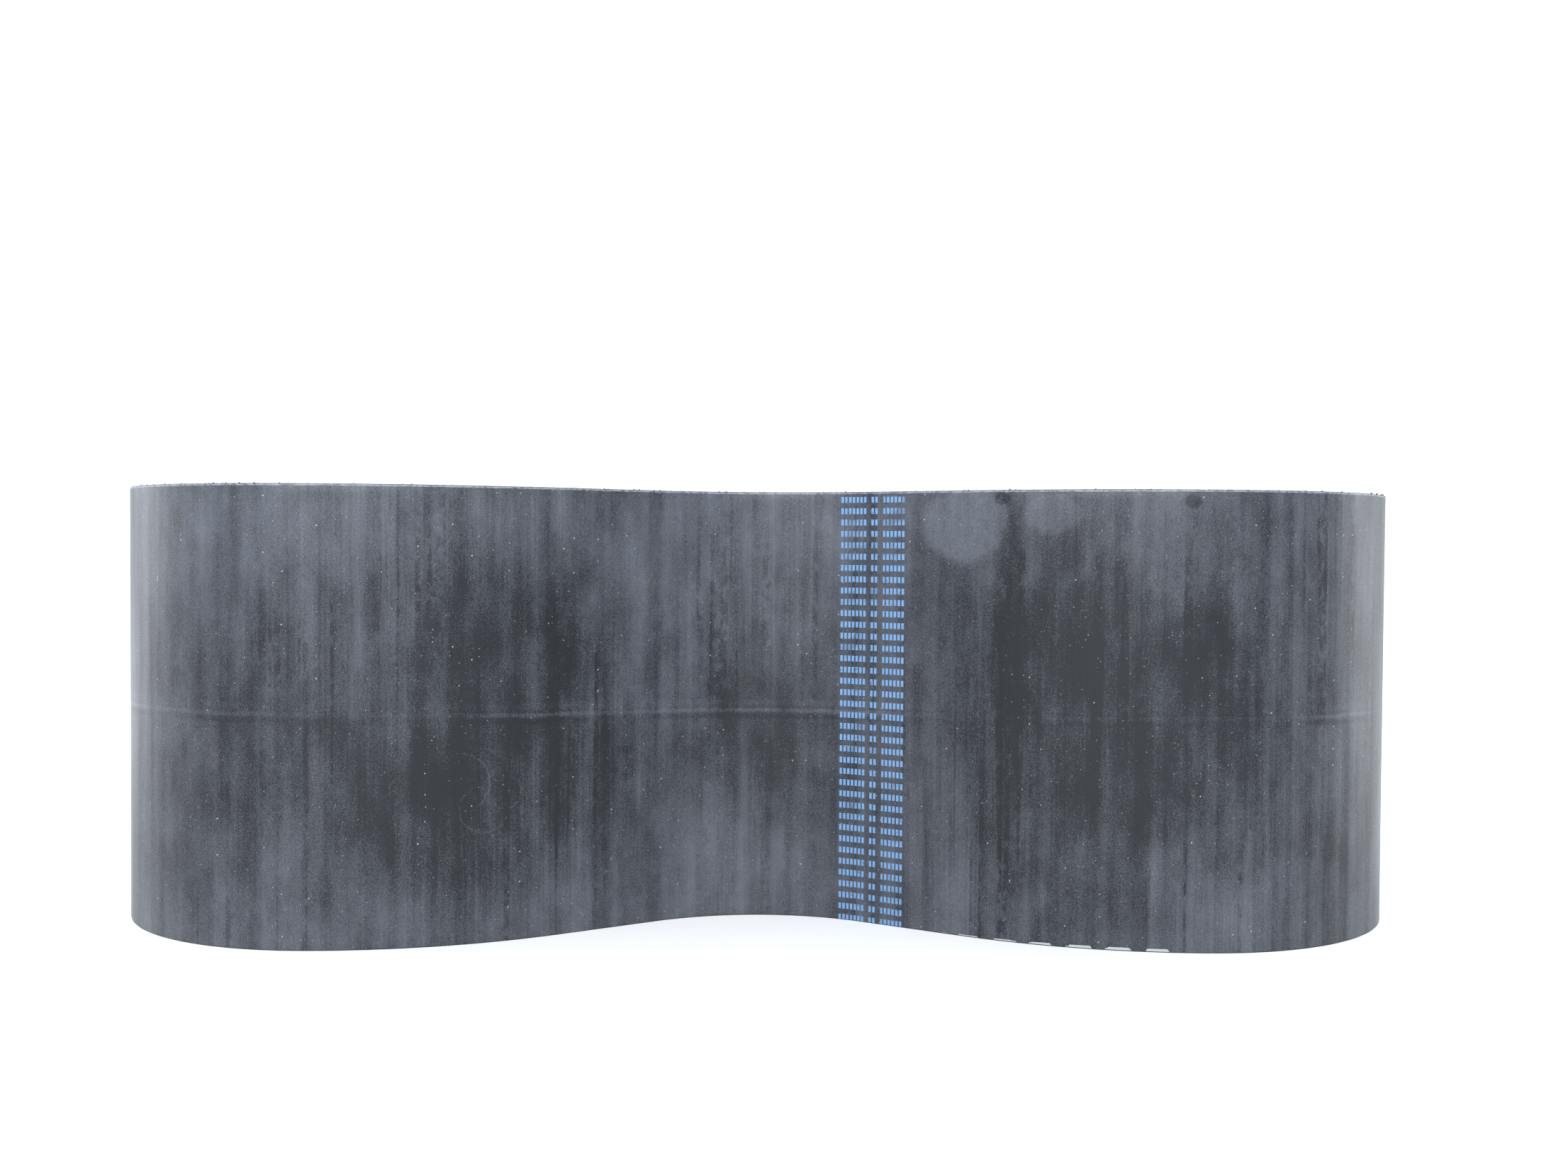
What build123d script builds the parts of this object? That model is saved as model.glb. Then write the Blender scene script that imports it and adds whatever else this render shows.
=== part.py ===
# A wide endless toothed drive belt, standing on one edge and pinched at the middle of its length.
# Frame: origin at the middle of the standing edge, +X along the longer way of the loop, +Z up.
# Everything is laid out from the pitch line, the closed line through the middle of the tensile cords.
# It starts at the -X end of the loop and runs counter-clockwise, seen from above.

import os
from math import asin, cos, degrees, pi, radians, sin

from build123d import *

# Tooth form and length of the belt
tooth_pitch = 14.0
tooth_count = 90
belt_width = 170.0
tooth_height = 6.0
tip_radius = 4.5
root_radius = 1.35

# Layers, measured square to the pitch line
back_depth = 2.6  # pitch line to the smooth outer face
land_depth = 1.397  # pitch line to the running face between two teeth
facing_thickness = 0.4

# Tensile cords, wound side by side from edge to edge, in turn one of S twist and one of Z twist
cord_diameter = 1.4
cord_pitch = 2.2

straight_limit = 1e-6  # a piece of line that bulges less than this is straight

# How the loop lies: pitch-line radii and the distance from its middle plane at the waist
end_radius = 85.0
shoulder_radius = 164.0
waist_radius = 77.0
waist_offset = 23.0

# Quarter of the loop: end arc, shoulder arc, straight flank, half of the waist arc
belt_length = tooth_pitch * tooth_count
quarter_rest = belt_length / 4 - end_radius * pi / 2
bend_radii = shoulder_radius + waist_radius


def flank_run(slope):
    """Length of the straight flank that is left when the flank slopes by this angle (radians)."""
    return quarter_rest - bend_radii * slope


def waist_reached(slope):
    """Distance of the waist from the middle plane when the flank slopes by this angle (radians)."""
    return end_radius - bend_radii * (1 - cos(slope)) - flank_run(slope) * sin(slope)


# The slope that brings the waist to its offset, by halving the interval
low_slope = 0.0
high_slope = min(quarter_rest / bend_radii, pi / 2)
for _ in range(60):
    flank_slope = (low_slope + high_slope) / 2
    if waist_reached(flank_slope) > waist_offset:
        low_slope = flank_slope
    else:
        high_slope = flank_slope

flank_length = flank_run(flank_slope)
half_length = end_radius + bend_radii * sin(flank_slope) + flank_length * cos(flank_slope)
slope_turn = degrees(flank_slope)

# Runs of the pitch line in order, each with its length and the angle by which it turns
shoulder = (shoulder_radius * flank_slope, slope_turn)
flank = (flank_length, 0.0)
waist = (2 * waist_radius * flank_slope, -2 * slope_turn)
half_end = (end_radius * pi / 2, 90.0)
full_end = (end_radius * pi, 180.0)
side = [shoulder, flank, waist, flank, shoulder]
runs = [half_end, *side, full_end, *side, half_end]


def station(distance):
    """Point of the pitch line at this distance from its start, and its heading in degrees."""
    spot = Vector(-half_length, 0)
    heading = -90.0
    left = distance % belt_length
    for length, turn in runs:
        step = min(left, length)
        swing = turn * step / length
        chord = step
        if swing:
            chord = 2 * step / radians(swing) * sin(radians(swing) / 2)
        spot += Vector(chord, 0).rotate(Axis.Z, heading + swing / 2)
        heading += swing
        left -= step
        if left <= 0:
            break
    return spot, heading


def on_belt(distance, depth):
    """Point that lies this far along the pitch line and this far inside it."""
    spot, heading = station(distance)
    return spot + Vector(depth, 0).rotate(Axis.Z, heading + 90)


def follow_belt(start, end, depth):
    """Arc or straight line at one depth between two distances along the pitch line."""
    first = on_belt(start, depth)
    middle = on_belt((start + end) / 2, depth)
    last = on_belt(end, depth)
    if (middle - (first + last) / 2).length > straight_limit:
        ThreePointArc(first, middle, last)
    else:
        Line(first, last)


def smooth_outline(depth):
    """Closed line that runs at one depth inside the pitch line."""
    with BuildLine() as outline:
        start = 0.0
        for length, _ in runs:
            follow_belt(start, start + length, depth)
            start += length
    return outline.line


def toothed_outline(skin):
    """Closed line along the teeth and the lands, this far under the running face."""
    tip_centre = Vector(0, land_depth + tooth_height - tip_radius)
    root_drop = asin((tip_centre.Y - land_depth - root_radius) / (tip_radius + root_radius))
    root_centre = Vector((tip_radius + root_radius) * cos(root_drop), land_depth + root_radius)
    to_tip = (tip_centre - root_centre).normalized()
    to_land = Vector(0, -1)
    to_middle = (to_tip + to_land).normalized()
    foot, middle, flank_end = [
        root_centre + way * (root_radius + skin) for way in (to_land, to_middle, to_tip)
    ]
    tip_depth = land_depth + tooth_height - skin
    with BuildLine() as outline:
        for tooth in range(tooth_count):
            centre = tooth * tooth_pitch
            before = [on_belt(centre - mark.X, mark.Y) for mark in (foot, middle, flank_end)]
            after = [on_belt(centre + mark.X, mark.Y) for mark in (flank_end, middle, foot)]
            ThreePointArc(*before)
            ThreePointArc(before[-1], on_belt(centre, tip_depth), after[0])
            ThreePointArc(*after)
            follow_belt(centre + foot.X, centre + tooth_pitch - foot.X, foot.Y)
    return outline.line


cord_radius = cord_diameter / 2
winding_count = round(belt_width / cord_pitch)
winding_height = belt_width / winding_count
winding_starts = [Location((0, 0, turn * winding_height)) for turn in range(winding_count)]

cord_outside = smooth_outline(-cord_radius)
cord_inside = smooth_outline(cord_radius)
facing_outline = toothed_outline(facing_thickness)

with BuildPart() as rubber_backing:
    with BuildSketch():
        make_face(smooth_outline(-back_depth))
        make_face(cord_outside, mode=Mode.SUBTRACT)
    extrude(amount=belt_width)

with BuildPart() as tooth_rubber:
    with BuildSketch():
        make_face(cord_inside)
        make_face(facing_outline, mode=Mode.SUBTRACT)
    extrude(amount=belt_width)

with BuildPart() as tooth_facing:
    with BuildSketch():
        make_face(facing_outline)
        make_face(toothed_outline(0), mode=Mode.SUBTRACT)
    extrude(amount=belt_width)

# One winding of cord with the rubber that fills its square
with BuildPart() as winding:
    with BuildSketch():
        make_face(cord_outside)
        make_face(cord_inside, mode=Mode.SUBTRACT)
    extrude(amount=winding_height)

tensile_cord_s = Compound(
    label="tensile_cord_s", children=[winding.part.moved(start) for start in winding_starts[0::2]]
)
tensile_cord_z = Compound(
    label="tensile_cord_z", children=[winding.part.moved(start) for start in winding_starts[1::2]]
)

rubber_backing.part.label = "rubber_backing"
tooth_rubber.part.label = "tooth_rubber"
tooth_facing.part.label = "tooth_facing"

os.makedirs("parts", exist_ok=True)
for piece in (
    rubber_backing.part,
    tooth_rubber.part,
    tooth_facing.part,
    tensile_cord_s,
    tensile_cord_z,
):
    export_step(piece, f"parts/{piece.label}.step")
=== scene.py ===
import math

import bpy
import numpy as np
from mathutils import Matrix, Vector


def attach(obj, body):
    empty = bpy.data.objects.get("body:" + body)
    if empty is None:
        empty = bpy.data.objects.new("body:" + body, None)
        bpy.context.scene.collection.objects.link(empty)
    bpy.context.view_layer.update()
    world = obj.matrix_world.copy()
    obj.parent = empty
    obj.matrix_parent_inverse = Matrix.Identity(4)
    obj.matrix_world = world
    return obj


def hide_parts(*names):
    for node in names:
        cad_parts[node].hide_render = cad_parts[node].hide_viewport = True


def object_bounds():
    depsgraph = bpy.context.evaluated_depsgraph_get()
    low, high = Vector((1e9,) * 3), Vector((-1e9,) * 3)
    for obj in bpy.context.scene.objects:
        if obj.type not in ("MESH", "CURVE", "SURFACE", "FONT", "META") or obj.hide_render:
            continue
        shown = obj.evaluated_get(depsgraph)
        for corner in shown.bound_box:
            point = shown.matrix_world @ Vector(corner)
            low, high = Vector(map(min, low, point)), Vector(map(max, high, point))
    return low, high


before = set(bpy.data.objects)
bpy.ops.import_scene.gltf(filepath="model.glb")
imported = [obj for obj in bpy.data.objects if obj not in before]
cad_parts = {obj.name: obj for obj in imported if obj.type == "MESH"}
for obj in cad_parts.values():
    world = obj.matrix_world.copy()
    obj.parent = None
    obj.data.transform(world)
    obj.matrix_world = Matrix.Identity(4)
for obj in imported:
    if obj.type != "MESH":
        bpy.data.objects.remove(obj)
cadLow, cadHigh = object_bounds()
beltWidth = cadHigh.z - cadLow.z

# How the belt is laid out, in metres: the same driving sizes as the frame has
belt = {
    "teeth": 90,
    "pitch": 0.014,
    "endRadius": 0.085,
    "shoulderRadius": 0.164,
    "waistRadius": 0.077,
    "waistOffset": 0.023,
    "backDepth": 0.0026,
    "landDepth": 0.001397,
    "toothHeight": 0.006,
    "tipRadius": 0.0045,
    "rootRadius": 0.00135,
    "facing": 0.0004,
}
beltLength = belt["teeth"] * belt["pitch"]

# How near counts as the same place, in metres
near = {"corner": 1e-6, "end": 6e-5, "weld": 2e-5, "spaceWeld": 2e-6}


# Small helpers for edit mode

def startFresh():
    if bpy.context.object and bpy.context.object.mode != "OBJECT":
        bpy.ops.object.mode_set(mode="OBJECT")
    bpy.ops.object.select_all(action="DESELECT")


def makeActive(piece):
    startFresh()
    piece.select_set(True)
    bpy.context.view_layer.objects.active = piece


def enterEdit(piece, kind="VERT"):
    makeActive(piece)
    bpy.ops.object.mode_set(mode="EDIT")
    bpy.ops.mesh.select_mode(type=kind)
    bpy.ops.mesh.select_all(action="DESELECT")


def leaveEdit():
    bpy.ops.object.mode_set(mode="OBJECT")


def pickVerts(piece, test):
    # selects the vertices whose place passes the test, and what lies between them
    leaveEdit()
    for vert in piece.data.vertices:
        vert.select = test(vert.co)
    for edge in piece.data.edges:
        edge.select = all(piece.data.vertices[i].select for i in edge.vertices)
    for face in piece.data.polygons:
        face.select = all(piece.data.vertices[i].select for i in face.vertices)
    bpy.ops.object.mode_set(mode="EDIT")


def applyModifier(piece, kind, **values):
    makeActive(piece)
    modifier = piece.modifiers.new(kind.lower(), kind)
    for key, value in values.items():
        setattr(modifier, key, value)
    bpy.ops.object.modifier_apply(modifier=modifier.name)


endWallFacing = 0.97  # how squarely an end wall looks along the belt


def dropEndWalls(piece, ends):
    # takes away the walls at the two ends of a segment, so that segments join into one tube
    enterEdit(piece, "FACE")
    leaveEdit()
    for face in piece.data.polygons:
        atEnd = any(abs(face.center.x - end) < near["end"] for end in ends)
        face.select = atEnd and abs(face.normal.x) > endWallFacing
    bpy.ops.object.mode_set(mode="EDIT")
    bpy.ops.mesh.delete(type="FACE")
    leaveEdit()
    for vert in piece.data.vertices:
        for end in ends:
            if abs(vert.co.x - end) < near["end"]:
                vert.co.x = end


def mergeAndTurnOut(piece, apart=near["weld"]):
    enterEdit(piece)
    bpy.ops.mesh.select_all(action="SELECT")
    bpy.ops.mesh.remove_doubles(threshold=apart)
    bpy.ops.mesh.normals_make_consistent(inside=False)
    leaveEdit()


def shade(piece, degrees=35):
    makeActive(piece)
    bpy.ops.object.shade_smooth_by_angle(angle=math.radians(degrees))


# The way the loop runs, drawn as one closed curve through the pitch line

halvings = 60


def beltRuns():
    # halves the range of the flank's slope until the waist lies at its offset
    quarterRest = beltLength / 4 - belt["endRadius"] * math.pi / 2
    bends = belt["shoulderRadius"] + belt["waistRadius"]
    low, high = 0.0, min(quarterRest / bends, math.pi / 2)
    for _ in range(halvings):
        slope = (low + high) / 2
        drop = bends * (1 - math.cos(slope)) + (quarterRest - bends * slope) * math.sin(slope)
        if belt["endRadius"] - drop > belt["waistOffset"]:
            low = slope
        else:
            high = slope
    flankLength = quarterRest - bends * slope
    half = belt["endRadius"] + bends * math.sin(slope) + flankLength * math.cos(slope)
    shoulder = (belt["shoulderRadius"] * slope, slope)
    flank = (flankLength, 0.0)
    waist = (2 * belt["waistRadius"] * slope, -2 * slope)
    quarterEnd = (belt["endRadius"] * math.pi / 2, math.pi / 2)
    side = [shoulder, flank, waist, flank, shoulder]
    return half, [quarterEnd, *side, quarterEnd, quarterEnd, *side, quarterEnd]


curveSteps = 48


def drawLoop():
    half, runs = beltRuns()
    curve = bpy.data.curves.new("pitchLoop", "CURVE")
    curve.dimensions = "3D"
    curve.twist_mode = "Z_UP"
    curve.resolution_u = curveSteps
    spline = curve.splines.new("BEZIER")
    spline.bezier_points.add(len(runs) - 1)
    spline.use_cyclic_u = True
    spot, heading = Vector((-half, 0, 0)), -math.pi / 2
    for index, (length, turn) in enumerate(runs):
        # a closed curve is followed from its last point on, so the last point is the start
        point = spline.bezier_points[index - 1]
        after = spline.bezier_points[index]
        reach = length / 3 if not turn else 4 / 3 * math.tan(abs(turn) / 4) * length / abs(turn)
        chord = length if not turn else 2 * length / turn * math.sin(turn / 2)
        for knot in (point, after):
            knot.handle_left_type = knot.handle_right_type = "FREE"
        way = Vector((math.cos(heading), math.sin(heading), 0))
        point.co = spot
        point.handle_right = spot + way * reach
        middle = heading + turn / 2
        spot = spot + Vector((math.cos(middle), math.sin(middle), 0)) * chord
        heading += turn
        after.handle_left = spot - Vector((math.cos(heading), math.sin(heading), 0)) * reach
    loop = bpy.data.objects.new("pitchLoop", curve)
    bpy.context.scene.collection.objects.link(loop)
    print("loop drawn,", round(spline.calc_length() * 1000, 2), "mm round")
    return loop


def bendRound(piece, loop):
    # stretches the flat strip by a hair to the curve's own length and bends it round the loop
    stretch = loop.data.splines[0].calc_length() / beltLength
    for vert in piece.data.vertices:
        vert.co.x *= stretch
    applyModifier(piece, "CURVE", object=loop, deform_axis="POS_X")
    mergeAndTurnOut(piece)


def repeatAlong(piece, count, step, uvStep):
    applyModifier(
        piece, "ARRAY", count=count, use_relative_offset=False, use_constant_offset=True,
        constant_offset_displace=step, use_merge_vertices=True, use_merge_vertices_cap=False,
        merge_threshold=near["weld"], offset_u=uvStep[0], offset_v=uvStep[1],
    )


# Node helpers for the materials

def newFinish(name, roughness=0.5, specular=0.5):
    finish = bpy.data.materials.new(name)
    finish.use_nodes = True
    shader = finish.node_tree.nodes["Principled BSDF"]
    shader.inputs["Roughness"].default_value = roughness
    shader.inputs["Specular IOR Level"].default_value = specular
    return finish, finish.node_tree, shader


def addNode(tree, kind, values=None, **settings):
    # values fill the sockets by name or number: a node's socket is linked, anything else is set
    node = tree.nodes.new("ShaderNode" + kind)
    for key, value in settings.items():
        setattr(node, key, value)
    for key, value in (values or {}).items():
        if isinstance(value, bpy.types.NodeSocket):
            tree.links.new(value, node.inputs[key])
        else:
            node.inputs[key].default_value = value
    return node


def calc(tree, operation, *values, clamp=False):
    pairs = dict(enumerate(values))
    return addNode(tree, "Math", pairs, operation=operation, use_clamp=clamp).outputs[0]


def blendColour(tree, amount, first, second):
    # a mix node's colour sockets are its numbers 6, 7 and, on the way out, 2
    values = {0: amount, 6: first, 7: second}
    return addNode(tree, "Mix", values, data_type="RGBA").outputs[2]


def addBump(tree, shader, height, strength, depth):
    values = {"Height": height, "Strength": strength, "Distance": depth}
    tree.links.new(addNode(tree, "Bump", values).outputs[0], shader.inputs["Normal"])


def band(tree, value, low, high, soft):
    # one between low and high, falling to zero over the soft width
    rise, fall = [ramp(tree, value, edge - soft, edge + soft) for edge in (low, high)]
    return calc(tree, "SUBTRACT", rise, fall, clamp=True)


def objectNoise(tree, scale, detail=3.0, stretch=(1, 1, 1), roughness=0.5):
    place = addNode(tree, "TexCoord").outputs["Object"]
    mapped = addNode(tree, "Mapping", {"Vector": place, "Scale": stretch}).outputs[0]
    values = {"Vector": mapped, "Scale": scale, "Detail": detail, "Roughness": roughness}
    return addNode(tree, "TexNoise", values).outputs[0]


def beltPlace(tree):
    # distance along the belt and height on it, both in metres
    spread = addNode(tree, "UVMap", uv_map="beltUV").outputs[0]
    parts = addNode(tree, "SeparateXYZ", {0: spread})
    return parts.outputs[0], parts.outputs[1]


def ramp(tree, value, low, high, toLow=0.0, toHigh=1.0):
    values = {0: value, 1: low, 2: high, 3: toLow, 4: toHigh}
    return addNode(tree, "MapRange", values, interpolation_type="SMOOTHSTEP").outputs[0]


# Smooth back: slate rubber, streaked up and down, dusty, printed with rows of plain ticks.
# Lengths are in metres along the belt or up it; shares and gains are amounts of tone from 0 to 1.

backLook = {
    "dark": (0.007, 0.008, 0.011, 1),
    "light": (0.140, 0.151, 0.176, 1),
    # the next colour is a painted highlight along the scraped top rim
    "rimHighlight": (0.30, 0.32, 0.35, 1),
    "specular": 0.36,
    "specularTint": (0.90, 0.95, 1.0, 1),
    "coatTint": (0.92, 0.96, 1.0, 1),
    "coatByTone": 0.36,
    "coatLeast": 0.11,
    # scale, how drawn out upwards, detail, roughness
    "noises": {
        "streak": (24, 2.0, 3.0, 0.5),
        "broad": (150, 26.0, 3.0, 0.5),
        "fine": (900, 60.0, 4.0, 0.7),
        "fineAmount": (16, 1.5, 3.0, 0.5),
        "haze": (13, 1.6, 4.0, 0.5),
        "mottle": (75, 1.8, 5.0, 0.65),
        "speckle": (2300, 1.0, 2.0, 0.5),
        "line": (210, 70.0, 2.0, 0.5),
        "lineDots": (420, 1.6, 2.0, 0.5),
        "lineAmount": (14, 1.3, 3.0, 0.5),
        "strap": (18, 1.0, 2.0, 0.5),
        "inkWear": (700, 1.0, 4.0, 0.5),
        "inkFade": (90, 1.0, 2.0, 0.5),
        "rim": (600, 1.0, 4.0, 0.5),
        # grain of the light dashes on the lower rim, which are a painted reflection of the floor
        "floorGlint": (300, 1.0, 3.0, 0.5),
    },
    # where in its noise a feature begins and is full, and the least and the greatest amount of it
    "fades": {
        "streak": (-0.08, 0.2),
        "fineAmount": (-0.12, 0.16, 0.25, 1.0),
        "line": (0.085, 0.135),
        "lineDots": (-0.14, 0.06),
        "lineAmount": (-0.10, 0.12),
        "strap": (-0.12, 0.10, 0.15, 1.0),
        "inkWear": (-0.24, -0.06, 0.35, 1.0),
        "inkFade": (-0.22, -0.06, 0.45, 0.9),
        "rim": (-0.2, 0.12, 0.2, 0.9),
    },
    "baseTone": 0.315,
    "shares": {
        "streak": 0.05, "broad": 0.80, "fine": 0.55,
        "haze": 0.8, "mottle": 0.85, "speckle": 1.1,
    },
    "lineGain": -0.22,
    "darkestHeight": 0.078,
    "edgeHaze": (0.035, 0.095),
    "edgeHazeSway": 0.04,
    "edgeHazeGain": 0.13,
    "roughness": {"base": 0.44, "haze": -0.30, "mottle": 0.25, "ink": 0.12},
    "coatRoughness": {"base": 0.32, "haze": -0.30, "fine": 0.2},
    "relief": {"broad": 1.1, "speckle": 0.30, "fine": 0.7, "streak": 0.15},
    "reliefStrength": 0.30,
    "reliefDepth": 0.00018,
}

backMarks = {
    # along, height, half length, half height, how much lighter or darker
    "patches": (
        (0.207, 0.058, 0.040, 0.050, -0.25),
        (0.228, 0.128, 0.028, 0.028, -0.13),
        (0.238, 0.088, 0.026, 0.045, -0.12),
        (0.580, 0.150, 0.060, 0.050, -0.16),
        (0.456, 0.080, 0.042, 0.066, -0.27),
        (0.404, 0.066, 0.034, 0.064, -0.15),
        (0.310, 0.070, 0.030, 0.030, -0.14),
        (0.290, 0.020, 0.050, 0.028, 0.12),
        (0.258, 0.125, 0.028, 0.034, 0.12),
        (0.320, 0.125, 0.030, 0.030, 0.08),
        (0.135, 0.158, 0.120, 0.028, 0.10),
        (0.060, 0.110, 0.035, 0.070, 0.03),
        (0.110, 0.055, 0.060, 0.050, -0.13),
        (0.145, 0.135, 0.045, 0.035, -0.05),
    ),
    "patchSoft": 0.75,
    "patchSway": 0.02,
    # the same for wiped spots with a plain edge
    "spots": (
        (0.4025, 0.1570, 0.0170, 0.0145, 0.29),
        (0.4365, 0.1610, 0.0105, 0.0075, 0.20),
        (0.4870, 0.1655, 0.0030, 0.0026, -0.22),
        (0.4180, 0.1665, 0.0030, 0.0022, -0.18),
    ),
    "spotSoft": 0.17,
    "spotSway": 0.15,
    # middle along, middle height, radius, and the way in which the scuff is open
    "scuffs": (
        (0.2065, 0.0560, 0.0062, 2.4),
        (0.1990, 0.0500, 0.0090, 0.6),
        (0.1905, 0.0600, 0.0110, 3.6),
    ),
    "scuffWobble": 0.004,
    "scuffEdge": (0.0001, 0.0006),
    "scuffOpening": (-0.5, 0.5),
    "scuffGain": 0.16,
    # the tie's line: above its middle, half width, gain
    "strapLines": ((0.0, 0.0012, 0.22), (0.0030, 0.0022, 0.08), (-0.0024, 0.0016, -0.10)),
    "strapHeight": 0.0845,
    "strapSway": 0.0018,
    "strapWave": 0.42,
    "strapWobble": 0.0015,
    "strapEdge": 0.0002,
    # cells to a metre, share of the cells without a speck, size in cells, colour
    "specks": (
        (520.0, 0.90, 0.12, (0.62, 0.57, 0.50, 1)),
        (1150.0, 0.93, 0.18, (0.42, 0.42, 0.42, 1)),
    ),
    "speckLeast": 0.3,
    "speckAmount": 0.6,
}

backPrint = {
    "ink": (0.17, 0.36, 0.66, 1),
    "start": 0.3483,
    "bars": ((0.0, 0.0125), (0.0141, 0.0176), (0.0195, 0.0292)),
    "barEdge": 0.00012,
    "rowPitch": 0.00448,
    "lowestRow": 0.0011,
    "rowHeight": 0.0023,
    "tickPitch": 0.0017,
    "tickGap": 0.36,
}

backRims = {
    "topRim": 0.0008,
    "topEdge": 0.0001,
    # light dashes on the lower rim: a painted reflection of the white floor
    "floorGlint": (0.56, 0.57, 0.58, 1),
    "glintFrom": 0.396,
    "glintTo": 0.481,
    "glintRunOut": 0.02,
    "glintEnds": 0.002,
    "glintTall": 0.0013,
    "glintLeastTall": 0.50,
    "glintEdge": 0.00006,
    "glintFoot": (0.00032, 0.00042),
    "glintAmount": 0.9,
    "glintBase": 0.26,
    "glintGrown": 0.22,
    "glintWave": 0.60,
    "glintGrain": 1.3,
    "glintFade": (-0.05, 0.45),
    # the darkest strip along the foot is painted shade where the belt meets the floor
    "lowFoot": (0.00032, 0.00040, 0.85, 0.0),
}


def distance(tree, x, y):
    squares = [calc(tree, "MULTIPLY", side, side) for side in (x, y)]
    return calc(tree, "SQRT", calc(tree, "ADD", *squares))


def oval(tree, along, height, place, soft):
    # one inside an oval, fading over the soft share of its size
    x = calc(tree, "DIVIDE", calc(tree, "SUBTRACT", along, place[0]), place[2])
    y = calc(tree, "DIVIDE", calc(tree, "SUBTRACT", height, place[1]), place[3])
    return ramp(tree, distance(tree, x, y), 1 - soft, 1 + soft, 1.0, 0.0)


def hoopPlace(tree, along, height):
    # where a spot would be if the belt stood open as a round hoop, so that the noise has no seam
    turn = calc(tree, "MULTIPLY", along, 2 * math.pi / beltLength)
    hoop = beltLength / (2 * math.pi)
    hoopX = calc(tree, "MULTIPLY", calc(tree, "COSINE", turn), hoop)
    hoopY = calc(tree, "MULTIPLY", calc(tree, "SINE", turn), hoop)
    return addNode(tree, "CombineXYZ", {0: hoopX, 1: hoopY, 2: height}).outputs[0]


def backNoise(tree, place, name):
    # goes either way from zero
    scale, tall, detail, roughness = backLook["noises"][name]
    mapped = addNode(tree, "Mapping", {"Vector": place, "Scale": (1, 1, 1 / tall)}).outputs[0]
    values = {"Vector": mapped, "Scale": scale, "Detail": detail, "Roughness": roughness}
    return calc(tree, "SUBTRACT", addNode(tree, "TexNoise", values).outputs[0], 0.5)


def backFade(tree, place, name):
    return ramp(tree, backNoise(tree, place, name), *backLook["fades"][name])


def backGrain(tree, place, wave):
    # streaks at the tooth pitch, and finer uneven ones, that fade in and out
    names = ("broad", "fine", "haze", "mottle", "speckle")
    grain = {name: backNoise(tree, place, name) for name in names}
    grain["streak"] = calc(tree, "MULTIPLY", wave, backFade(tree, place, "streak"))
    grain["fine"] = calc(tree, "MULTIPLY", grain["fine"], backFade(tree, place, "fineAmount"))
    return grain


def backTone(tree, height, place, grain):
    # lighter towards both edges, darkest near half height
    look = backLook
    offMiddle = calc(tree, "ABSOLUTE", calc(tree, "SUBTRACT", height, look["darkestHeight"]))
    level = calc(tree, "MULTIPLY_ADD", grain["haze"], look["edgeHazeSway"], offMiddle)
    edgeHaze = ramp(tree, level, *look["edgeHaze"])
    tone = calc(tree, "MULTIPLY_ADD", edgeHaze, look["edgeHazeGain"], look["baseTone"])
    for part, share in look["shares"].items():
        tone = calc(tree, "MULTIPLY_ADD", grain[part], share, tone)

    # a few crisp dark lines, broken into dots here and there
    line = backFade(tree, place, "line")
    for name in ("lineDots", "lineAmount"):
        line = calc(tree, "MULTIPLY", line, backFade(tree, place, name))
    return calc(tree, "MULTIPLY_ADD", line, look["lineGain"], tone)


def addPatches(tree, along, height, mottle, tone):
    marks = backMarks
    sway = calc(tree, "MULTIPLY", mottle, marks["patchSway"])
    for patch in marks["patches"]:
        mask = oval(tree, calc(tree, "ADD", along, sway), height, patch, marks["patchSoft"])
        tone = calc(tree, "MULTIPLY_ADD", mask, patch[4], tone)
    for spot in marks["spots"]:
        level = calc(tree, "ADD", height, calc(tree, "MULTIPLY", sway, marks["spotSway"]))
        mask = oval(tree, along, level, spot, marks["spotSoft"])
        tone = calc(tree, "MULTIPLY_ADD", mask, spot[4], tone)
    return tone


def addScuffs(tree, along, height, mottle, tone):
    # curled scuffs, each an open ring
    marks = backMarks
    for middle, level, radius, opening in marks["scuffs"]:
        x = calc(tree, "SUBTRACT", along, middle)
        y = calc(tree, "SUBTRACT", height, level)
        out = calc(tree, "MULTIPLY_ADD", mottle, marks["scuffWobble"], distance(tree, x, y))
        offRing = calc(tree, "ABSOLUTE", calc(tree, "SUBTRACT", out, radius))
        ring = ramp(tree, offRing, *marks["scuffEdge"], 1.0, 0.0)
        facing = calc(tree, "COSINE", calc(tree, "SUBTRACT", calc(tree, "ARCTAN2", y, x), opening))
        ring = calc(tree, "MULTIPLY", ring, ramp(tree, facing, *marks["scuffOpening"], 1.0, 0.0))
        tone = calc(tree, "MULTIPLY_ADD", ring, marks["scuffGain"], tone)
    return tone


def addStrapLines(tree, along, height, place, mottle, tone):
    # the mark of a tie round the loop: a faint double line
    marks = backMarks
    swing = calc(tree, "SINE", calc(tree, "MULTIPLY", along, 2 * math.pi / marks["strapWave"]))
    middle = calc(tree, "MULTIPLY_ADD", swing, marks["strapSway"], marks["strapHeight"])
    middle = calc(tree, "MULTIPLY_ADD", mottle, marks["strapWobble"], middle)
    offLine = calc(tree, "SUBTRACT", height, middle)
    for shift, wide, share in marks["strapLines"]:
        gap = calc(tree, "ABSOLUTE", calc(tree, "SUBTRACT", offLine, shift))
        line = ramp(tree, gap, marks["strapEdge"], wide, 1.0, 0.0)
        line = calc(tree, "MULTIPLY", line, backFade(tree, place, "strap"))
        tone = calc(tree, "MULTIPLY_ADD", line, share, tone)
    return tone


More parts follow.
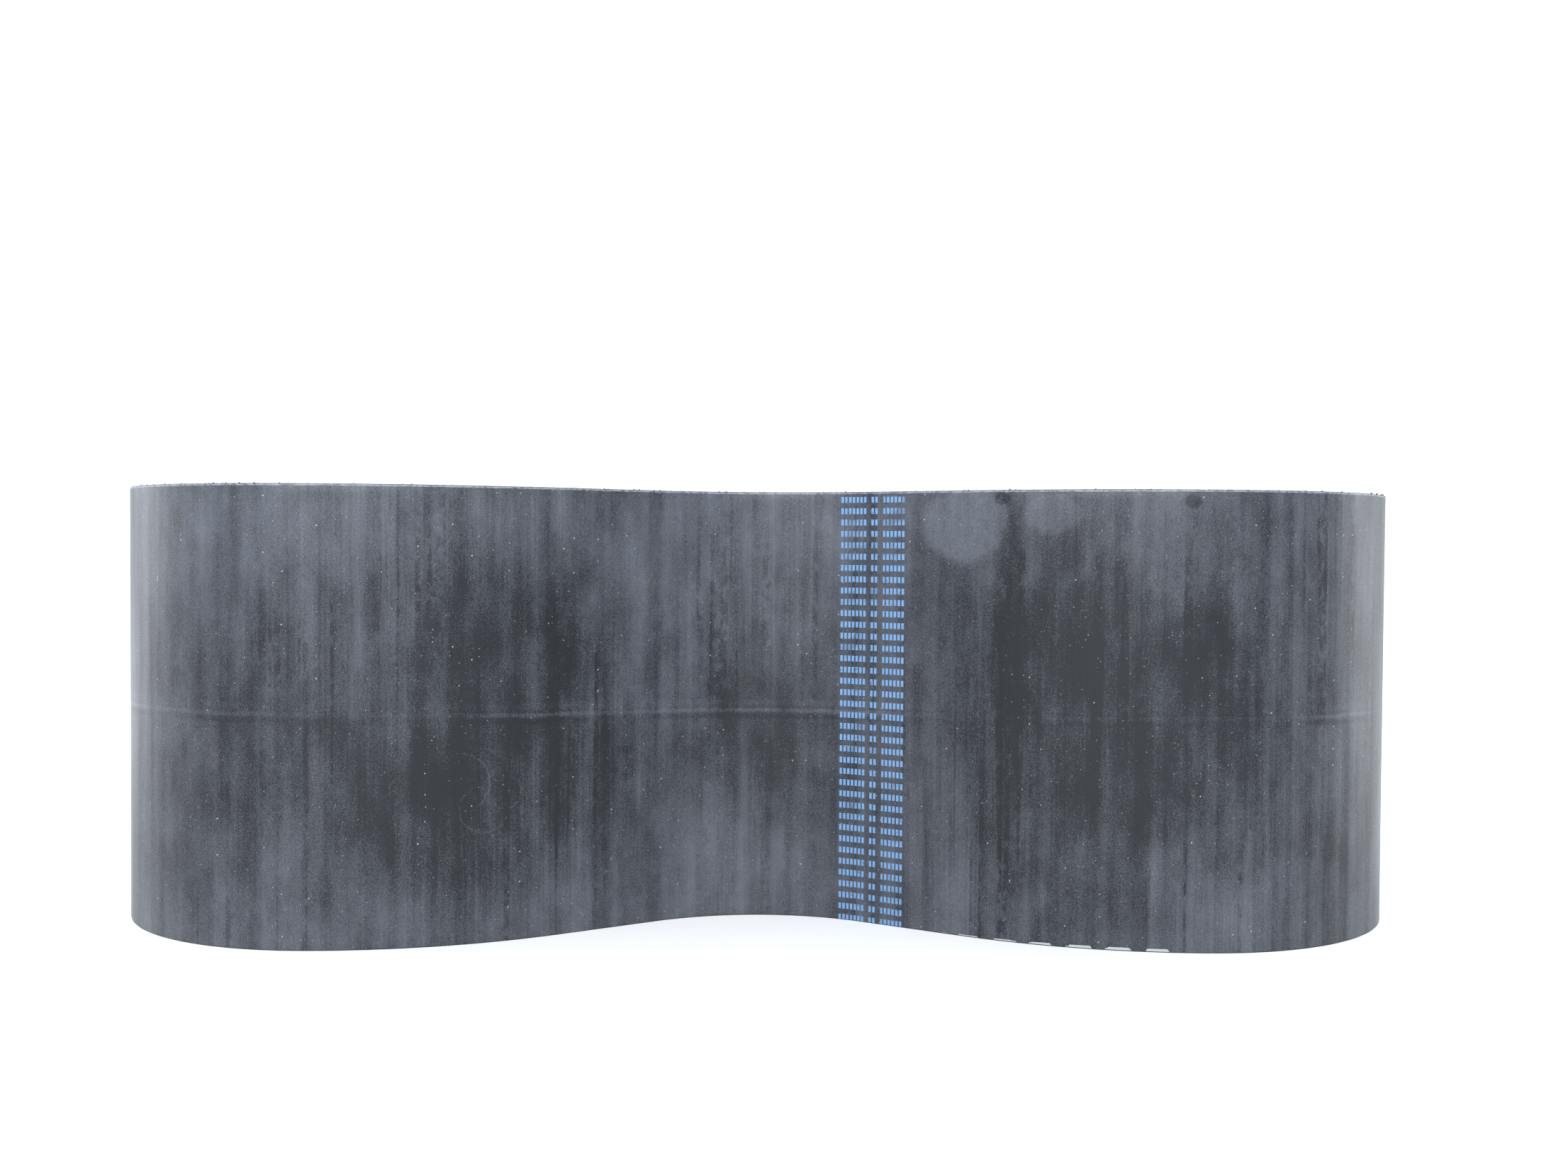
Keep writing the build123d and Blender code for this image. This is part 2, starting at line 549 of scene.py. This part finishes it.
def addSpecks(tree, place, colour):
    # dust specks of uneven size
    marks = backMarks
    for scale, without, size, tint in marks["specks"]:
        cells = addNode(tree, "TexVoronoi", {"Vector": place, "Scale": scale})
        tell = addNode(tree, "SeparateColor", {0: cells.outputs["Color"]})
        chosen = calc(tree, "GREATER_THAN", tell.outputs[0], without)
        reach = calc(tree, "MULTIPLY_ADD", tell.outputs[1], size, size * marks["speckLeast"])
        inside = calc(tree, "LESS_THAN", cells.outputs["Distance"], reach)
        specks = calc(tree, "MULTIPLY", chosen, inside)
        specks = calc(tree, "MULTIPLY", specks, marks["speckAmount"])
        colour = blendColour(tree, specks, colour, tint)
    return colour


def printTicks(tree, along, height, place):
    # rows of three bars, each cut into strokes, a little worn
    plan = backPrint
    fromLowest = calc(tree, "SUBTRACT", height, plan["lowestRow"])
    rowPhase = calc(tree, "DIVIDE", fromLowest, plan["rowPitch"])
    offRow = calc(tree, "ABSOLUTE", calc(tree, "SUBTRACT", rowPhase, calc(tree, "ROUND", rowPhase)))
    rowMask = calc(tree, "LESS_THAN", offRow, plan["rowHeight"] / plan["rowPitch"] / 2)
    fromStart = calc(tree, "SUBTRACT", along, plan["start"])
    bars = 0.0
    for low, high in plan["bars"]:
        bars = calc(tree, "ADD", band(tree, fromStart, low, high, plan["barEdge"]), bars)
    tickPhase = calc(tree, "FRACT", calc(tree, "DIVIDE", fromStart, plan["tickPitch"]))
    ticks = calc(tree, "GREATER_THAN", tickPhase, plan["tickGap"])
    ink = calc(tree, "MULTIPLY", calc(tree, "MULTIPLY", rowMask, bars), ticks)
    for name in ("inkWear", "inkFade"):
        ink = calc(tree, "MULTIPLY", ink, backFade(tree, place, name))
    return ink


def rimScrapesAndPaintedLight(tree, along, height, place, wave, colour):
    # a painted highlight on the scraped top rim, a painted reflection of the floor on the lower
    # rim, and painted shade at the foot
    plan = backRims

    # the scraped upper rim is painted lighter: a painted highlight where light from above catches
    # the frayed edge
    rimStart = beltWidth - plan["topRim"]
    rim = ramp(tree, height, rimStart - plan["topEdge"], rimStart + plan["topEdge"])
    rim = calc(tree, "MULTIPLY", rim, backFade(tree, place, "rim"))
    colour = blendColour(tree, rim, colour, backLook["rimHighlight"])

    # painted reflection on the lower rim: light dashes where a chamfer would catch the white floor,
    # one below each tooth, growing and running together to the right
    grown = ramp(tree, along, plan["glintFrom"], plan["glintTo"] - plan["glintRunOut"])
    glintSpan = band(tree, along, plan["glintFrom"], plan["glintTo"], plan["glintEnds"])
    window = calc(tree, "MULTIPLY", glintSpan, grown)
    glintLevel = calc(tree, "MULTIPLY_ADD", grown, plan["glintGrown"], plan["glintBase"])
    glintLevel = calc(tree, "MULTIPLY_ADD", wave, plan["glintWave"], glintLevel)
    glintLevel = calc(tree, "MULTIPLY_ADD", backNoise(tree, place, "floorGlint"), plan["glintGrain"], glintLevel)
    tall = calc(tree, "MULTIPLY_ADD", window, 1 - plan["glintLeastTall"], plan["glintLeastTall"])
    tall = calc(tree, "MULTIPLY", tall, plan["glintTall"])
    tall = calc(tree, "MULTIPLY", tall, ramp(tree, glintLevel, *plan["glintFade"]))
    above = calc(tree, "SUBTRACT", height, tall)
    floorGlint = ramp(tree, above, -plan["glintEdge"], plan["glintEdge"], 1.0, 0.0)
    floorGlint = calc(tree, "MULTIPLY", floorGlint, ramp(tree, height, *plan["glintFoot"]))
    floorGlint = calc(tree, "MULTIPLY", floorGlint, glintSpan)
    floorGlint = calc(tree, "MULTIPLY", floorGlint, plan["glintAmount"])
    colour = blendColour(tree, floorGlint, colour, plan["floorGlint"])
    # painted shade: the lowest strip of the face goes to the darkest tone where the belt meets the
    # floor
    return blendColour(tree, ramp(tree, height, *plan["lowFoot"]), colour, backLook["dark"])


def paintBack():
    look = backLook
    finish, tree, shader = newFinish("slateRubber", specular=look["specular"])
    shader.inputs["Coat Tint"].default_value = look["coatTint"]
    shader.inputs["Specular Tint"].default_value = look["specularTint"]
    along, height = beltPlace(tree)
    place = hoopPlace(tree, along, height)
    wave = calc(tree, "COSINE", calc(tree, "MULTIPLY", along, 2 * math.pi / belt["pitch"]))
    grain = backGrain(tree, place, wave)

    tone = backTone(tree, height, place, grain)
    tone = addPatches(tree, along, height, grain["mottle"], tone)
    tone = addScuffs(tree, along, height, grain["mottle"], tone)
    tone = addStrapLines(tree, along, height, place, grain["mottle"], tone)
    tone = calc(tree, "MAXIMUM", calc(tree, "MINIMUM", tone, 1.0), 0.0)
    coat = calc(tree, "MULTIPLY_ADD", tone, look["coatByTone"], look["coatLeast"], clamp=True)
    tree.links.new(coat, shader.inputs["Coat Weight"])

    colour = blendColour(tree, tone, look["dark"], look["light"])
    colour = addSpecks(tree, place, colour)
    ink = printTicks(tree, along, height, place)
    colour = blendColour(tree, ink, colour, backPrint["ink"])
    colour = rimScrapesAndPaintedLight(tree, along, height, place, wave, colour)
    tree.links.new(colour, shader.inputs["Base Color"])

    rough = look["roughness"]
    roughness = calc(tree, "MULTIPLY_ADD", grain["haze"], rough["haze"], rough["base"])
    roughness = calc(tree, "MULTIPLY_ADD", grain["mottle"], rough["mottle"], roughness)
    roughness = calc(tree, "MULTIPLY_ADD", ink, rough["ink"], roughness, clamp=True)
    tree.links.new(roughness, shader.inputs["Roughness"])
    rough = look["coatRoughness"]
    roughness = calc(tree, "MULTIPLY_ADD", grain["haze"], rough["haze"], rough["base"])
    roughness = calc(tree, "MULTIPLY_ADD", grain["fine"], rough["fine"], roughness, clamp=True)
    tree.links.new(roughness, shader.inputs["Coat Roughness"])

    relief = calc(tree, "MULTIPLY", grain["broad"], look["relief"]["broad"])
    for name in ("speckle", "fine", "streak"):
        relief = calc(tree, "MULTIPLY_ADD", grain[name], look["relief"][name], relief)
    addBump(tree, shader, relief, look["reliefStrength"], look["reliefDepth"])
    return finish


cutLook = {
    "roughness": 0.7,
    "specular": 0.35,
    "darker": 0.55,
    "lighter": 1.7,
    "grainDetail": 5,
    "grainRoughness": 0.65,
    "grainShare": 0.6,
    "dragNoise": (260, 3, (1, 0.35, 1)),
    "dragShare": 0.5,
    "bumpStrength": 0.5,
    "bumpDepth": 0.00025,
}


def paintCut(name, tone, grainScale):
    # knife-cut rubber: fine torn grain and short drag lines
    look = cutLook
    finish, tree, shader = newFinish(name, look["roughness"], look["specular"])
    grain = objectNoise(tree, grainScale, look["grainDetail"], roughness=look["grainRoughness"])
    drag = objectNoise(tree, *look["dragNoise"])
    amount = calc(tree, "MULTIPLY", grain, look["grainShare"])
    amount = calc(tree, "MULTIPLY_ADD", drag, look["dragShare"], amount, clamp=True)
    dark, light = [tuple(c * look[way] for c in tone) + (1,) for way in ("darker", "lighter")]
    tree.links.new(blendColour(tree, amount, dark, light), shader.inputs["Base Color"])
    addBump(tree, shader, grain, look["bumpStrength"], look["bumpDepth"])
    return finish


backPlan = {
    "columns": 8,
    "rows": 44,
    "topCut": 0.0007,
    "lowCut": 0.0003,
    "cutSteps": 2,
    "cutFacing": 0.85,
    "cutTone": (0.05, 0.053, 0.058),
    "cutGrain": 1400,
    "seed": 7,
    "phases": 6.3,
    "ripple": 0.00004,
    "rippleFade": {"most": 0.7, "change": 0.3, "round": 7, "up": 31},
    "swell": 0.000042,
    "swellWaves": (5, 11, 17, 29),
    "swellFade": {"most": 0.6, "change": 0.4, "round": 3, "up": 5.1},
    "ragged": 0.00012,
    "raggedSideways": 0.6,
    "raggedRim": 0.0011,
}


def weatherBack(back):
    # the teeth show through as low swells, and the cut edges are a little ragged
    plan, pitch = backPlan, belt["pitch"]
    rng = np.random.default_rng(plan["seed"])
    co = np.zeros(len(back.data.vertices) * 3)
    back.data.vertices.foreach_get("co", co)
    co = co.reshape(-1, 3)
    x, y, z = co.T
    around = 2 * np.pi * x / beltLength
    outer = y < -belt["backDepth"] / 2
    swell = sum(np.sin(k * around + rng.uniform(0, plan["phases"])) / k for k in plan["swellWaves"])
    fade = plan["swellFade"]
    change = np.sin(z / beltWidth * fade["up"] + np.sin(fade["round"] * around))
    swell = swell * (fade["most"] + fade["change"] * change)
    fade = plan["rippleFade"]
    change = np.sin(fade["round"] * around + z * fade["up"])
    ripple = np.cos(2 * np.pi * x / pitch) * (fade["most"] + fade["change"] * change)
    y -= outer * (plan["ripple"] * ripple + plan["swell"] * swell)
    columns = belt["teeth"] * plan["columns"]
    column = np.round(x / pitch * plan["columns"]).astype(int) % columns
    jitter = rng.uniform(-1, 1, (3, columns))
    top = outer & (z > cadHigh.z - plan["raggedRim"])
    z -= top * np.abs(jitter[0, column]) * plan["ragged"]
    y += top * jitter[1, column] * plan["ragged"] * plan["raggedSideways"]
    back.data.vertices.foreach_set("co", co.ravel())
    back.data.update()


def makeBack(loop):
    plan, pitch, depth = backPlan, belt["pitch"], belt["backDepth"]
    startFresh()
    bpy.ops.mesh.primitive_grid_add(
        x_subdivisions=plan["columns"], y_subdivisions=plan["rows"], size=1,
        location=(pitch / 2, -depth, cadLow.z + beltWidth / 2), rotation=(math.pi / 2, 0, 0),
    )
    back = bpy.context.object
    back.name = "smoothBack"
    back.scale = (pitch, beltWidth, 1)
    bpy.ops.object.transform_apply(location=True, rotation=True, scale=True)
    back.data.uv_layers[0].name = "beltUV"
    for corner in back.data.uv_layers[0].data:
        corner.uv = (corner.uv.x * pitch, corner.uv.y * beltWidth)
    enterEdit(back)
    bpy.ops.mesh.select_all(action="SELECT")
    bpy.ops.mesh.extrude_region_move(TRANSFORM_OT_translate={"value": (0, depth, 0)})
    leaveEdit()
    dropEndWalls(back, (0, pitch))
    for level, cut in ((cadHigh.z, plan["topCut"]), (cadLow.z, plan["lowCut"])):
        enterEdit(back, "EDGE")
        outerFace = near["corner"] - depth
        pickVerts(back, lambda co: abs(co.z - level) < near["corner"] and co.y < outerFace)
        bpy.ops.mesh.bevel(offset=cut, segments=plan["cutSteps"], affect="EDGES")
        leaveEdit()
    repeatAlong(back, belt["teeth"], (pitch, 0, 0), (pitch, 0))
    weatherBack(back)
    bendRound(back, loop)
    shade(back)
    back.data.materials.append(paintBack())
    back.data.materials.append(paintCut("cutBackRubber", plan["cutTone"], plan["cutGrain"]))
    for face in back.data.polygons:
        if abs(face.normal.z) > plan["cutFacing"]:
            face.material_index = 1
    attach(back, "root")
    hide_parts("rubber_backing")
    print("back made,", len(back.data.polygons), "faces")


# Crumbs of rubber that the knife left on the upper rim

crumbPlan = {
    "count": 420,
    "seed": 21,
    "least": 0.00008,
    "most": 0.00034,
    "dented": 0.25,
    "strewn": 0.0018,
    "raised": 0.3,
    "sunk": 0.0001,
    "turns": 6.28,
    "stretch": (0.7, 1.5),
    "smoothUnder": 60,
    "tone": (0.10, 0.11, 0.125),
    "grain": 2500,
}


def scatterCrumbs(loop):
    plan = crumbPlan
    startFresh()
    bpy.ops.mesh.primitive_ico_sphere_add(subdivisions=1, radius=1)
    lump = bpy.context.object
    rng = np.random.default_rng(plan["seed"])
    corners = np.array([vert.co[:] for vert in lump.data.vertices])
    corners *= 1 + rng.uniform(-plan["dented"], plan["dented"], (len(corners), 1))
    lump.data.vertices.foreach_set("co", corners.ravel())
    crumbs = [lump]
    for _ in range(plan["count"] - 1):
        twin = lump.copy()
        twin.data = lump.data.copy()
        bpy.context.scene.collection.objects.link(twin)
        crumbs.append(twin)
    for crumb in crumbs:
        # most crumbs are small and lie near the outer face
        size = plan["least"] + (plan["most"] - plan["least"]) * rng.uniform() ** 3
        inward = rng.uniform() ** 2 * plan["strewn"]
        level = cadHigh.z + size * plan["raised"] - plan["sunk"]
        crumb.location = (rng.uniform(0, beltLength), inward - belt["backDepth"], level)
        crumb.rotation_euler = rng.uniform(0, plan["turns"], 3)
        crumb.scale = size * rng.uniform(*plan["stretch"], 3)
        crumb.select_set(True)
    bpy.context.view_layer.objects.active = lump
    bpy.ops.object.join()
    lump.name = "rimCrumbs"
    bpy.ops.object.transform_apply(location=True, rotation=True, scale=True)
    bendRound(lump, loop)
    shade(lump, plan["smoothUnder"])
    lump.data.materials.append(paintCut("crumbRubber", plan["tone"], plan["grain"]))
    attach(lump, "root")
    print("crumbs scattered,", len(lump.data.polygons), "faces")


# Toothed side: one tooth space is modelled flat, then repeated and bent round

toothPlan = {
    "rows": 6,
    "landColumns": 2,
    "rootSteps": 5,
    "tipSteps": 9,
    "smoothUnder": 40,
    "rubberTone": (0.035, 0.036, 0.04),
    "rubberGrain": 1700,
    "lift": 0.00001,
    "placeDigits": 5,
}


def makeToothSpace(name, skin):
    # from the crown of one tooth to the crown of the next, this far under the running face
    plan, pitch = toothPlan, belt["pitch"]
    tipCentre = belt["landDepth"] + belt["toothHeight"] - belt["tipRadius"]
    rootCentre = belt["landDepth"] + belt["rootRadius"]
    apart = belt["tipRadius"] + belt["rootRadius"]
    lean = math.asin((tipCentre - rootCentre) / apart)
    rootOffset = apart * math.cos(lean)
    landHalf = pitch / 2 - rootOffset
    startFresh()
    bpy.ops.mesh.primitive_grid_add(
        x_subdivisions=plan["landColumns"], y_subdivisions=plan["rows"], size=1,
        location=(pitch / 2, belt["landDepth"] - skin, cadLow.z + beltWidth / 2),
        rotation=(-math.pi / 2, 0, 0),
    )
    space = bpy.context.object
    space.name = name
    space.scale = (2 * landHalf, beltWidth, 1)
    bpy.ops.object.transform_apply(location=True, rotation=True, scale=True)
    for side in (1, -1):
        edge = pitch / 2 + side * landHalf
        enterEdit(space, "EDGE")
        pickVerts(space, lambda co: abs(co.x - edge) < near["corner"])
        bpy.ops.mesh.spin(
            steps=plan["rootSteps"], angle=-side * (math.pi / 2 + lean),
            center=(edge, rootCentre, 0), axis=(0, 0, 1),
        )
        bpy.ops.mesh.spin(
            steps=plan["tipSteps"], angle=side * (math.pi / 2 + lean),
            center=(pitch / 2 + side * pitch / 2, tipCentre, 0), axis=(0, 0, 1),
        )
        leaveEdit()
    mergeAndTurnOut(space, near["spaceWeld"])
    middle = Vector((pitch / 2, 0))
    land = min(space.data.polygons, key=lambda face: sum(map(abs, face.center.xy - middle)))
    if land.normal.y < 0:
        enterEdit(space)
        bpy.ops.mesh.select_all(action="SELECT")
        bpy.ops.mesh.flip_normals()
        leaveEdit()
    return space


def unrollUv(piece):
    # puts the way along the toothed surface, and the height, into beltUV; returns the way's length
    mesh = piece.data
    lowest = [v for v in mesh.vertices if abs(v.co.z - cadLow.z) < near["corner"]]
    beside = {v.index: set() for v in lowest}
    for edge in mesh.edges:
        a, b = edge.vertices
        if a in beside and b in beside:
            beside[a].add(b)
            beside[b].add(a)
    here = min(lowest, key=lambda v: v.co.x).index
    walked, way, before = {}, 0.0, None
    digits = toothPlan["placeDigits"]
    while here is not None:
        spot = mesh.vertices[here].co
        walked[(round(spot.x, digits), round(spot.y, digits))] = way
        onward = [n for n in beside[here] if n != before]
        if onward:
            way += (mesh.vertices[onward[0]].co - spot).length
        before, here = here, onward[0] if onward else None
    layer = mesh.uv_layers[0] if mesh.uv_layers else mesh.uv_layers.new()
    layer.name = "beltUV"
    for loop in mesh.loops:
        spot = mesh.vertices[loop.vertex_index].co
        layer.data[loop.index].uv = (walked[(round(spot.x, digits), round(spot.y, digits))], spot.z)
    return way


fabricLook = {
    "specular": 0.4,
    "sheen": 0.25,
    "sheenRoughness": 0.5,
    "thread": 0.00085,
    "weaveDark": (0.016, 0.017, 0.019, 1),
    "weaveLight": (0.050, 0.052, 0.056, 1),
    "wornColour": (0.10, 0.102, 0.106, 1),
    "wornShare": 0.35,
    "wornNoise": (35, 4, (1, 1, 0.25)),
    "wornFade": (0.40, 0.68),
    "roughWhenNew": 0.66,
    "roughWhenWorn": 0.52,
    "bumpStrength": 0.45,
    "bumpDepth": 0.00012,
}


def paintFabric():
    # black nylon twill filled with rubber, polished a little here and there
    look = fabricLook
    finish, tree, shader = newFinish("blackNylon", specular=look["specular"])
    shader.inputs["Sheen Weight"].default_value = look["sheen"]
    shader.inputs["Sheen Roughness"].default_value = look["sheenRoughness"]
    along, height = beltPlace(tree)
    thread = 2 * math.pi / look["thread"]
    warp = calc(tree, "SINE", calc(tree, "MULTIPLY", calc(tree, "ADD", along, height), thread / 2))
    weft = calc(tree, "SINE", calc(tree, "MULTIPLY", calc(tree, "SUBTRACT", along, height), thread))
    weave = calc(tree, "MULTIPLY_ADD", calc(tree, "MULTIPLY", warp, weft), 0.5, 0.5, clamp=True)
    worn = ramp(tree, objectNoise(tree, *look["wornNoise"]), *look["wornFade"])
    colour = blendColour(tree, weave, look["weaveDark"], look["weaveLight"])
    wornAmount = calc(tree, "MULTIPLY", worn, look["wornShare"])
    colour = blendColour(tree, wornAmount, colour, look["wornColour"])
    tree.links.new(colour, shader.inputs["Base Color"])
    roughness = ramp(tree, worn, 0, 1, look["roughWhenNew"], look["roughWhenWorn"])
    tree.links.new(roughness, shader.inputs["Roughness"])
    addBump(tree, shader, weave, look["bumpStrength"], look["bumpDepth"])
    return finish


def makeToothRubber(loop):
    # the rubber between the fabric and the cords: the toothed sheet is drawn back to a flat wall
    plan, pitch = toothPlan, belt["pitch"]
    rubber = makeToothSpace("toothRubber", belt["facing"])
    length = unrollUv(rubber)
    enterEdit(rubber)
    bpy.ops.mesh.select_all(action="SELECT")
    bpy.ops.mesh.extrude_region_move(TRANSFORM_OT_translate={"value": (0, -plan["lift"], 0)})
    bpy.ops.transform.resize(value=(1, 0, 1), center_override=(0, 0, 0))
    leaveEdit()
    dropEndWalls(rubber, (0, pitch))
    repeatAlong(rubber, belt["teeth"], (pitch, 0, 0), (length, 0))
    finish = paintCut("blackRubber", plan["rubberTone"], plan["rubberGrain"])
    finishToothed(rubber, loop, "tooth_rubber", finish)


def makeFacing(loop):
    pitch = belt["pitch"]
    facing = makeToothSpace("toothFacing", belt["facing"])
    length = unrollUv(facing)
    applyModifier(
        facing, "SOLIDIFY", thickness=belt["facing"], offset=1, use_even_offset=True, use_rim=True,
    )
    dropEndWalls(facing, (0, pitch))
    repeatAlong(facing, belt["teeth"], (pitch, 0, 0), (length, 0))
    finishToothed(facing, loop, "tooth_facing", paintFabric())


def finishToothed(piece, loop, node, finish):
    # the loop starts at the crown of a tooth, as the strip does
    bendRound(piece, loop)
    shade(piece, toothPlan["smoothUnder"])
    piece.data.materials.append(finish)
    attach(piece, "root")
    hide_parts(node)
    print(piece.name, "made,", len(piece.data.polygons), "faces")


# Tensile cords: two twisted glass cords wound side by side as long helices

cordPlan = {
    "radius": 0.0007,
    "sides": 6,
    "perTooth": 2,
    "step": 0.0022368,
    "proud": 0.00003,
    "sliver": 0.8,
    "smoothUnder": 50,
}

cordLook = {
    "roughness": 0.55,
    "specular": 0.4,
    "strands": 3,
    "twists": 8.0,
    "strandDark": (0.34, 0.33, 0.30, 1),
    "strandLight": (0.80, 0.79, 0.74, 1),
    "fuzz": (0.55, 0.54, 0.50, 1),
    "fuzzNoise": (1500, 3),
    "fuzzShare": 0.3,
    "bumpStrength": 0.6,
    "bumpDepth": 0.00015,
}


def paintCord(name, hand):
    # glass strands that twist round the cord, one way or the other
    look = cordLook
    finish, tree, shader = newFinish(name, look["roughness"], look["specular"])
    around, along = beltPlace(tree)
    turns = calc(tree, "MULTIPLY", along, hand * look["twists"])
    phase = calc(tree, "MULTIPLY", calc(tree, "ADD", around, turns), 2 * math.pi * look["strands"])
    strand = calc(tree, "MULTIPLY_ADD", calc(tree, "SINE", phase), 0.5, 0.5)
    colour = blendColour(tree, strand, look["strandDark"], look["strandLight"])
    fuzz = calc(tree, "MULTIPLY", objectNoise(tree, *look["fuzzNoise"]), look["fuzzShare"])
    tree.links.new(blendColour(tree, fuzz, colour, look["fuzz"]), shader.inputs["Base Color"])
    addBump(tree, shader, strand, look["bumpStrength"], look["bumpDepth"])
    return finish


def dropPastEdges(cord, start, climb):
    # takes away the lengths of cord that lie past an edge of the belt, but for a thin last sliver
    reach = cordPlan["radius"] * cordPlan["sliver"]
    enterEdit(cord, "FACE")
    leaveEdit()
    for face in cord.data.polygons:
        risen = start + face.center.x / beltLength * climb
        middle = risen + round((face.center.z - risen) / climb) * climb
        face.select = middle - reach > cadHigh.z or middle + reach < cadLow.z
    bpy.ops.object.mode_set(mode="EDIT")
    bpy.ops.mesh.delete(type="FACE")
    leaveEdit()


def windCord(loop, name, node, first, hand):
    plan = cordPlan
    length = belt["pitch"] / plan["perTooth"]
    startFresh()
    bpy.ops.mesh.primitive_cylinder_add(
        vertices=plan["sides"], radius=plan["radius"], depth=length, end_fill_type="NOTHING",
        location=(length / 2, 0, 0), rotation=(0, math.pi / 2, 0),
    )
    cord = bpy.context.object
    cord.name = name
    bpy.ops.object.transform_apply(location=True, rotation=True, scale=True)
    cord.data.uv_layers[0].name = "beltUV"
    repeatAlong(cord, belt["teeth"] * plan["perTooth"], (length, 0, 0), (0, 1 / plan["perTooth"]))

    # each turn climbs by two steps, because the two cords are wound together
    climb = 2 * plan["step"]
    turns = math.ceil(beltWidth / climb) + 1
    start = cadLow.z + first - climb
    for vert in cord.data.vertices:
        vert.co.z += start + vert.co.x / beltLength * climb
    repeatAlong(cord, turns, (0, 0, climb), (0, 0))
    dropPastEdges(cord, start, climb)
    bendRound(cord, loop)
    enterEdit(cord)
    bpy.ops.mesh.select_all(action="SELECT")
    bpy.ops.mesh.fill_holes(sides=plan["sides"])
    bpy.ops.mesh.normals_make_consistent(inside=False)
    leaveEdit()

    # the knife leaves the cord a hair proud of the rubber
    for vert in cord.data.vertices:
        vert.co.z = min(max(vert.co.z, cadLow.z - plan["proud"]), cadHigh.z + plan["proud"])
    shade(cord, plan["smoothUnder"])
    cord.data.materials.append(paintCord(name + "Yarn", hand))
    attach(cord, "root")
    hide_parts(node)
    print(name, "wound,", len(cord.data.polygons), "faces")


# Floor, light and camera

floorLook = {
    "size": 30,
    "roughness": 0.9,
    "specular": 0.2,
    "colour": (0.93, 0.93, 0.93, 1),
    "glow": 0.22,
}

studio = {
    "strength": 1.25,
    "tint": (0.93, 0.98, 1.05, 1),
    "shade": 0.05,
    "shadeAt": 66.0,
    "shadeWidth": 48.0,
    "shadeLevel": (0.25, 0.85),
}

# place, what it is aimed at, size and power of each
softBoxes = {
    "frontBox": ((-0.4, -1.9, 1.1), (0, 0, 0.08), (1.6, 1.2), 22),
    "leftBox": ((-1.3, 0.30, 0.55), (-0.25, 0, 0.10), (0.7, 1.0), 4.5),
    "rightBox": ((1.3, 0.30, 0.25), (0.25, 0, 0.06), (0.7, 1.0), 4),
}

# the camera's place in metres and its turns in degrees
view = {
    "stand": (-0.00106, -0.68861, 0.14696),
    "lens": 38.0,
    "sensor": 36,
    "nearest": 0.01,
    "turn": -0.892,
    "down": 1.321,
    "roll": 0.372,
}


def paintFloor():
    look = floorLook
    finish, tree, shader = newFinish("paleFloor", look["roughness"], look["specular"])
    shader.inputs["Base Color"].default_value = look["colour"]
    shader.inputs["Emission Color"].default_value = (1, 1, 1, 1)
    shader.inputs["Emission Strength"].default_value = look["glow"]
    return finish


def setStage():
    startFresh()
    bpy.ops.mesh.primitive_plane_add(size=floorLook["size"], location=(0, 0, cadLow.z))
    floor = bpy.context.object
    floor.name = "paleFloor"
    floor.data.materials.append(paintFloor())

    paintWorld()
    bpy.context.scene.view_settings.view_transform = "Standard"
    print("stage set")


def paintWorld():
    # white all round, with a darker wall on each side of the viewer
    world = bpy.data.worlds.new("softStudio")
    bpy.context.scene.world = world
    world.use_nodes = True
    tree = world.node_tree
    way = addNode(tree, "TexCoord").outputs["Generated"]
    parts = addNode(tree, "SeparateXYZ", {0: way})
    side = calc(tree, "ABSOLUTE", parts.outputs[0])
    front = calc(tree, "MULTIPLY", parts.outputs[1], -1.0)
    angle = calc(tree, "MULTIPLY", calc(tree, "ARCTAN2", side, front), 180 / math.pi)
    off = calc(tree, "ABSOLUTE", calc(tree, "SUBTRACT", angle, studio["shadeAt"]))
    wall = calc(tree, "SUBTRACT", 1.0, ramp(tree, off, 0.0, studio["shadeWidth"]))
    level = calc(tree, "ABSOLUTE", parts.outputs[2])
    low = calc(tree, "SUBTRACT", 1.0, ramp(tree, level, *studio["shadeLevel"]))
    wall = calc(tree, "MULTIPLY", wall, low)
    strength = ramp(tree, wall, 0.0, 1.0, studio["strength"], studio["shade"])
    background = tree.nodes["Background"]
    background.inputs["Color"].default_value = studio["tint"]
    tree.links.new(strength, background.inputs["Strength"])


def addSoftBox(name, place, aim, size, power):
    light = bpy.data.lights.new(name, "AREA")
    light.shape = "RECTANGLE"
    light.size, light.size_y = size
    light.energy = power
    box = bpy.data.objects.new(name, light)
    bpy.context.scene.collection.objects.link(box)
    box.location = place
    box.rotation_euler = (Vector(aim) - Vector(place)).to_track_quat("-Z", "Y").to_euler()


def setCamera():
    data = bpy.data.cameras.new("viewer")
    data.sensor_width = view["sensor"]
    data.lens = view["lens"]
    data.clip_start = view["nearest"]
    camera = bpy.data.objects.new("viewer", data)
    bpy.context.scene.collection.objects.link(camera)
    turn = Matrix.Rotation(math.radians(view["turn"]), 4, "Z")
    tilt = Matrix.Rotation(math.radians(90 - view["down"]), 4, "X")
    roll = Matrix.Rotation(math.radians(view["roll"]), 4, "Z")
    stand = Vector(view["stand"]) + Vector((0, 0, cadLow.z))
    camera.matrix_world = Matrix.Translation(stand) @ turn @ tilt @ roll
    bpy.context.scene.camera = camera


setStage()
setCamera()
for name, (place, aim, size, power) in softBoxes.items():
    addSoftBox(name, place, aim, size, power)
print("lights and camera placed")
loop = drawLoop()
makeBack(loop)
scatterCrumbs(loop)
makeToothRubber(loop)
makeFacing(loop)
windCord(loop, "cordSTwist", "tensile_cord_s", cordPlan["step"] / 2, 1)
windCord(loop, "cordZTwist", "tensile_cord_z", cordPlan["step"] * 1.5, -1)
bpy.data.objects.remove(loop)
